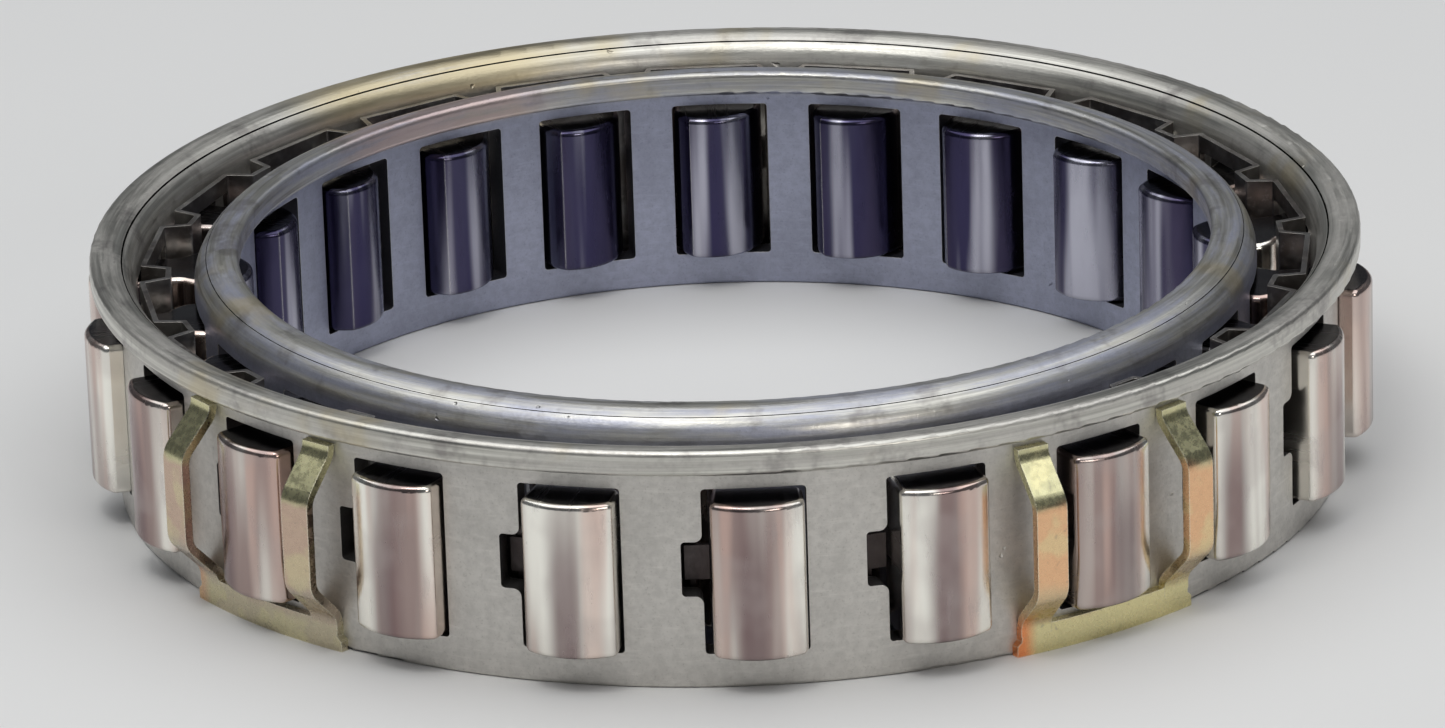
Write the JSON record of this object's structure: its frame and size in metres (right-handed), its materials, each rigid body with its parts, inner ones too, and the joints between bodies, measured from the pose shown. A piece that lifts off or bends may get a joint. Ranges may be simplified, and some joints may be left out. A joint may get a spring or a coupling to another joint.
{
  "type": "sprag clutch insert",
  "caption": "Ring-shaped one-way clutch insert: leaning sprags held between a flanged outer cage and a flanged inner cage, with a folded ribbon spring and bowed drag clips on the outside.",
  "frame": {"origin": "on the clutch axis, at the plane of the cages' bottom edges", "axes": "+Z along the clutch axis towards the flanged end; -Y through the middle of the window that holds sprag_01"},
  "size_m": [0.0664, 0.067, 0.0127],
  "materials": {
    "outer_cage_steel": "satin grey pressed sheet steel, the flange rubbed brighter",
    "inner_cage_steel": "satin grey pressed sheet steel, the flange rubbed brighter",
    "ribbon_steel": "oily dark rolled spring steel",
    "sprag_steel": "ground and polished hardened steel",
    "clip_steel": "bright spring steel with a warm straw tint"
  },
  "bodies": {
    "outer_ring": {"outer_cage": "outer_cage_steel", "drag_clip_1": "clip_steel", "drag_clip_2": "clip_steel", "drag_clip_3": "clip_steel", "drag_clip_4": "clip_steel"},
    "inner_ring": {"inner_cage": "inner_cage_steel"},
    "ribbon": {"ribbon_spring": "ribbon_steel"},
    "sprag_01": {"sprag_01": "sprag_steel"},
    "sprag_02": {"sprag_02": "sprag_steel"},
    "sprag_03": {"sprag_03": "sprag_steel"},
    "sprag_04": {"sprag_04": "sprag_steel"},
    "sprag_05": {"sprag_05": "sprag_steel"},
    "sprag_06": {"sprag_06": "sprag_steel"},
    "sprag_07": {"sprag_07": "sprag_steel"},
    "sprag_08": {"sprag_08": "sprag_steel"},
    "sprag_09": {"sprag_09": "sprag_steel"},
    "sprag_10": {"sprag_10": "sprag_steel"},
    "sprag_11": {"sprag_11": "sprag_steel"},
    "sprag_12": {"sprag_12": "sprag_steel"},
    "sprag_13": {"sprag_13": "sprag_steel"},
    "sprag_14": {"sprag_14": "sprag_steel"},
    "sprag_15": {"sprag_15": "sprag_steel"},
    "sprag_16": {"sprag_16": "sprag_steel"},
    "sprag_17": {"sprag_17": "sprag_steel"},
    "sprag_18": {"sprag_18": "sprag_steel"},
    "sprag_19": {"sprag_19": "sprag_steel"},
    "sprag_20": {"sprag_20": "sprag_steel"},
    "sprag_21": {"sprag_21": "sprag_steel"},
    "sprag_22": {"sprag_22": "sprag_steel"}
  },
  "joints": [
    {"name": "cage_twist", "type": "hinge", "parent": "outer_ring", "child": "inner_ring", "pos_m": [0, 0, 0.00635], "axis": [0, 0, 1], "range_deg": [0, 2], "stiffness_Nm_per_rad": 0.05, "springref_deg": -2.86},
    {"name": "sprag_rock_01", "type": "hinge", "parent": "outer_ring", "child": "sprag_01", "pos_m": [0, -0.03123, 0.00597], "axis": [0, 0, 1], "range_deg": [-12.3, 0]},
    {"name": "sprag_rock_02", "type": "hinge", "parent": "outer_ring", "child": "sprag_02", "pos_m": [0.0088, -0.02996, 0.00597], "axis": [0, 0, 1], "range_deg": [-12.3, 0]},
    {"name": "sprag_rock_03", "type": "hinge", "parent": "outer_ring", "child": "sprag_03", "pos_m": [0.01688, -0.02627, 0.00597], "axis": [0, 0, 1], "range_deg": [-12.3, 0]},
    {"name": "sprag_rock_04", "type": "hinge", "parent": "outer_ring", "child": "sprag_04", "pos_m": [0.0236, -0.02045, 0.00597], "axis": [0, 0, 1], "range_deg": [-12.3, 0]},
    {"name": "sprag_rock_05", "type": "hinge", "parent": "outer_ring", "child": "sprag_05", "pos_m": [0.02841, -0.01297, 0.00597], "axis": [0, 0, 1], "range_deg": [-12.3, 0]},
    {"name": "sprag_rock_06", "type": "hinge", "parent": "outer_ring", "child": "sprag_06", "pos_m": [0.03091, -0.00444, 0.00597], "axis": [0, 0, 1], "range_deg": [-12.3, 0]},
    {"name": "sprag_rock_07", "type": "hinge", "parent": "outer_ring", "child": "sprag_07", "pos_m": [0.03091, 0.00444, 0.00597], "axis": [0, 0, 1], "range_deg": [-12.3, 0]},
    {"name": "sprag_rock_08", "type": "hinge", "parent": "outer_ring", "child": "sprag_08", "pos_m": [0.02841, 0.01297, 0.00597], "axis": [0, 0, 1], "range_deg": [-12.3, 0]},
    {"name": "sprag_rock_09", "type": "hinge", "parent": "outer_ring", "child": "sprag_09", "pos_m": [0.0236, 0.02045, 0.00597], "axis": [0, 0, 1], "range_deg": [-12.3, 0]},
    {"name": "sprag_rock_10", "type": "hinge", "parent": "outer_ring", "child": "sprag_10", "pos_m": [0.01688, 0.02627, 0.00597], "axis": [0, 0, 1], "range_deg": [-12.3, 0]},
    {"name": "sprag_rock_11", "type": "hinge", "parent": "outer_ring", "child": "sprag_11", "pos_m": [0.0088, 0.02996, 0.00597], "axis": [0, 0, 1], "range_deg": [-12.3, 0]},
    {"name": "sprag_rock_12", "type": "hinge", "parent": "outer_ring", "child": "sprag_12", "pos_m": [0, 0.03123, 0.00597], "axis": [0, 0, 1], "range_deg": [-12.3, 0]},
    {"name": "sprag_rock_13", "type": "hinge", "parent": "outer_ring", "child": "sprag_13", "pos_m": [-0.0088, 0.02996, 0.00597], "axis": [0, 0, 1], "range_deg": [-12.3, 0]},
    {"name": "sprag_rock_14", "type": "hinge", "parent": "outer_ring", "child": "sprag_14", "pos_m": [-0.01688, 0.02627, 0.00597], "axis": [0, 0, 1], "range_deg": [-12.3, 0]},
    {"name": "sprag_rock_15", "type": "hinge", "parent": "outer_ring", "child": "sprag_15", "pos_m": [-0.0236, 0.02045, 0.00597], "axis": [0, 0, 1], "range_deg": [-12.3, 0]},
    {"name": "sprag_rock_16", "type": "hinge", "parent": "outer_ring", "child": "sprag_16", "pos_m": [-0.02841, 0.01297, 0.00597], "axis": [0, 0, 1], "range_deg": [-12.3, 0]},
    {"name": "sprag_rock_17", "type": "hinge", "parent": "outer_ring", "child": "sprag_17", "pos_m": [-0.03091, 0.00444, 0.00597], "axis": [0, 0, 1], "range_deg": [-12.3, 0]},
    {"name": "sprag_rock_18", "type": "hinge", "parent": "outer_ring", "child": "sprag_18", "pos_m": [-0.03091, -0.00444, 0.00597], "axis": [0, 0, 1], "range_deg": [-12.3, 0]},
    {"name": "sprag_rock_19", "type": "hinge", "parent": "outer_ring", "child": "sprag_19", "pos_m": [-0.02841, -0.01297, 0.00597], "axis": [0, 0, 1], "range_deg": [-12.3, 0]},
    {"name": "sprag_rock_20", "type": "hinge", "parent": "outer_ring", "child": "sprag_20", "pos_m": [-0.0236, -0.02045, 0.00597], "axis": [0, 0, 1], "range_deg": [-12.3, 0]},
    {"name": "sprag_rock_21", "type": "hinge", "parent": "outer_ring", "child": "sprag_21", "pos_m": [-0.01688, -0.02627, 0.00597], "axis": [0, 0, 1], "range_deg": [-12.3, 0]},
    {"name": "sprag_rock_22", "type": "hinge", "parent": "outer_ring", "child": "sprag_22", "pos_m": [-0.0088, -0.02996, 0.00597], "axis": [0, 0, 1], "range_deg": [-12.3, 0]},
    {"name": "ribbon_shift", "type": "hinge", "parent": "outer_ring", "child": "ribbon", "pos_m": [0, 0, 0.00635], "axis": [0, 0, 1], "range_deg": [0, 0.31]}
  ],
  "couplings": [
    {"joint": "sprag_rock_01", "follows": "cage_twist", "ratio": -6.134},
    {"joint": "sprag_rock_02", "follows": "cage_twist", "ratio": -6.134},
    {"joint": "sprag_rock_03", "follows": "cage_twist", "ratio": -6.134},
    {"joint": "sprag_rock_04", "follows": "cage_twist", "ratio": -6.134},
    {"joint": "sprag_rock_05", "follows": "cage_twist", "ratio": -6.134},
    {"joint": "sprag_rock_06", "follows": "cage_twist", "ratio": -6.134},
    {"joint": "sprag_rock_07", "follows": "cage_twist", "ratio": -6.134},
    {"joint": "sprag_rock_08", "follows": "cage_twist", "ratio": -6.134},
    {"joint": "sprag_rock_09", "follows": "cage_twist", "ratio": -6.134},
    {"joint": "sprag_rock_10", "follows": "cage_twist", "ratio": -6.134},
    {"joint": "sprag_rock_11", "follows": "cage_twist", "ratio": -6.134},
    {"joint": "sprag_rock_12", "follows": "cage_twist", "ratio": -6.134},
    {"joint": "sprag_rock_13", "follows": "cage_twist", "ratio": -6.134},
    {"joint": "sprag_rock_14", "follows": "cage_twist", "ratio": -6.134},
    {"joint": "sprag_rock_15", "follows": "cage_twist", "ratio": -6.134},
    {"joint": "sprag_rock_16", "follows": "cage_twist", "ratio": -6.134},
    {"joint": "sprag_rock_17", "follows": "cage_twist", "ratio": -6.134},
    {"joint": "sprag_rock_18", "follows": "cage_twist", "ratio": -6.134},
    {"joint": "sprag_rock_19", "follows": "cage_twist", "ratio": -6.134},
    {"joint": "sprag_rock_20", "follows": "cage_twist", "ratio": -6.134},
    {"joint": "sprag_rock_21", "follows": "cage_twist", "ratio": -6.134},
    {"joint": "sprag_rock_22", "follows": "cage_twist", "ratio": -6.134},
    {"joint": "ribbon_shift", "follows": "cage_twist", "ratio": 0.15}
  ]
}
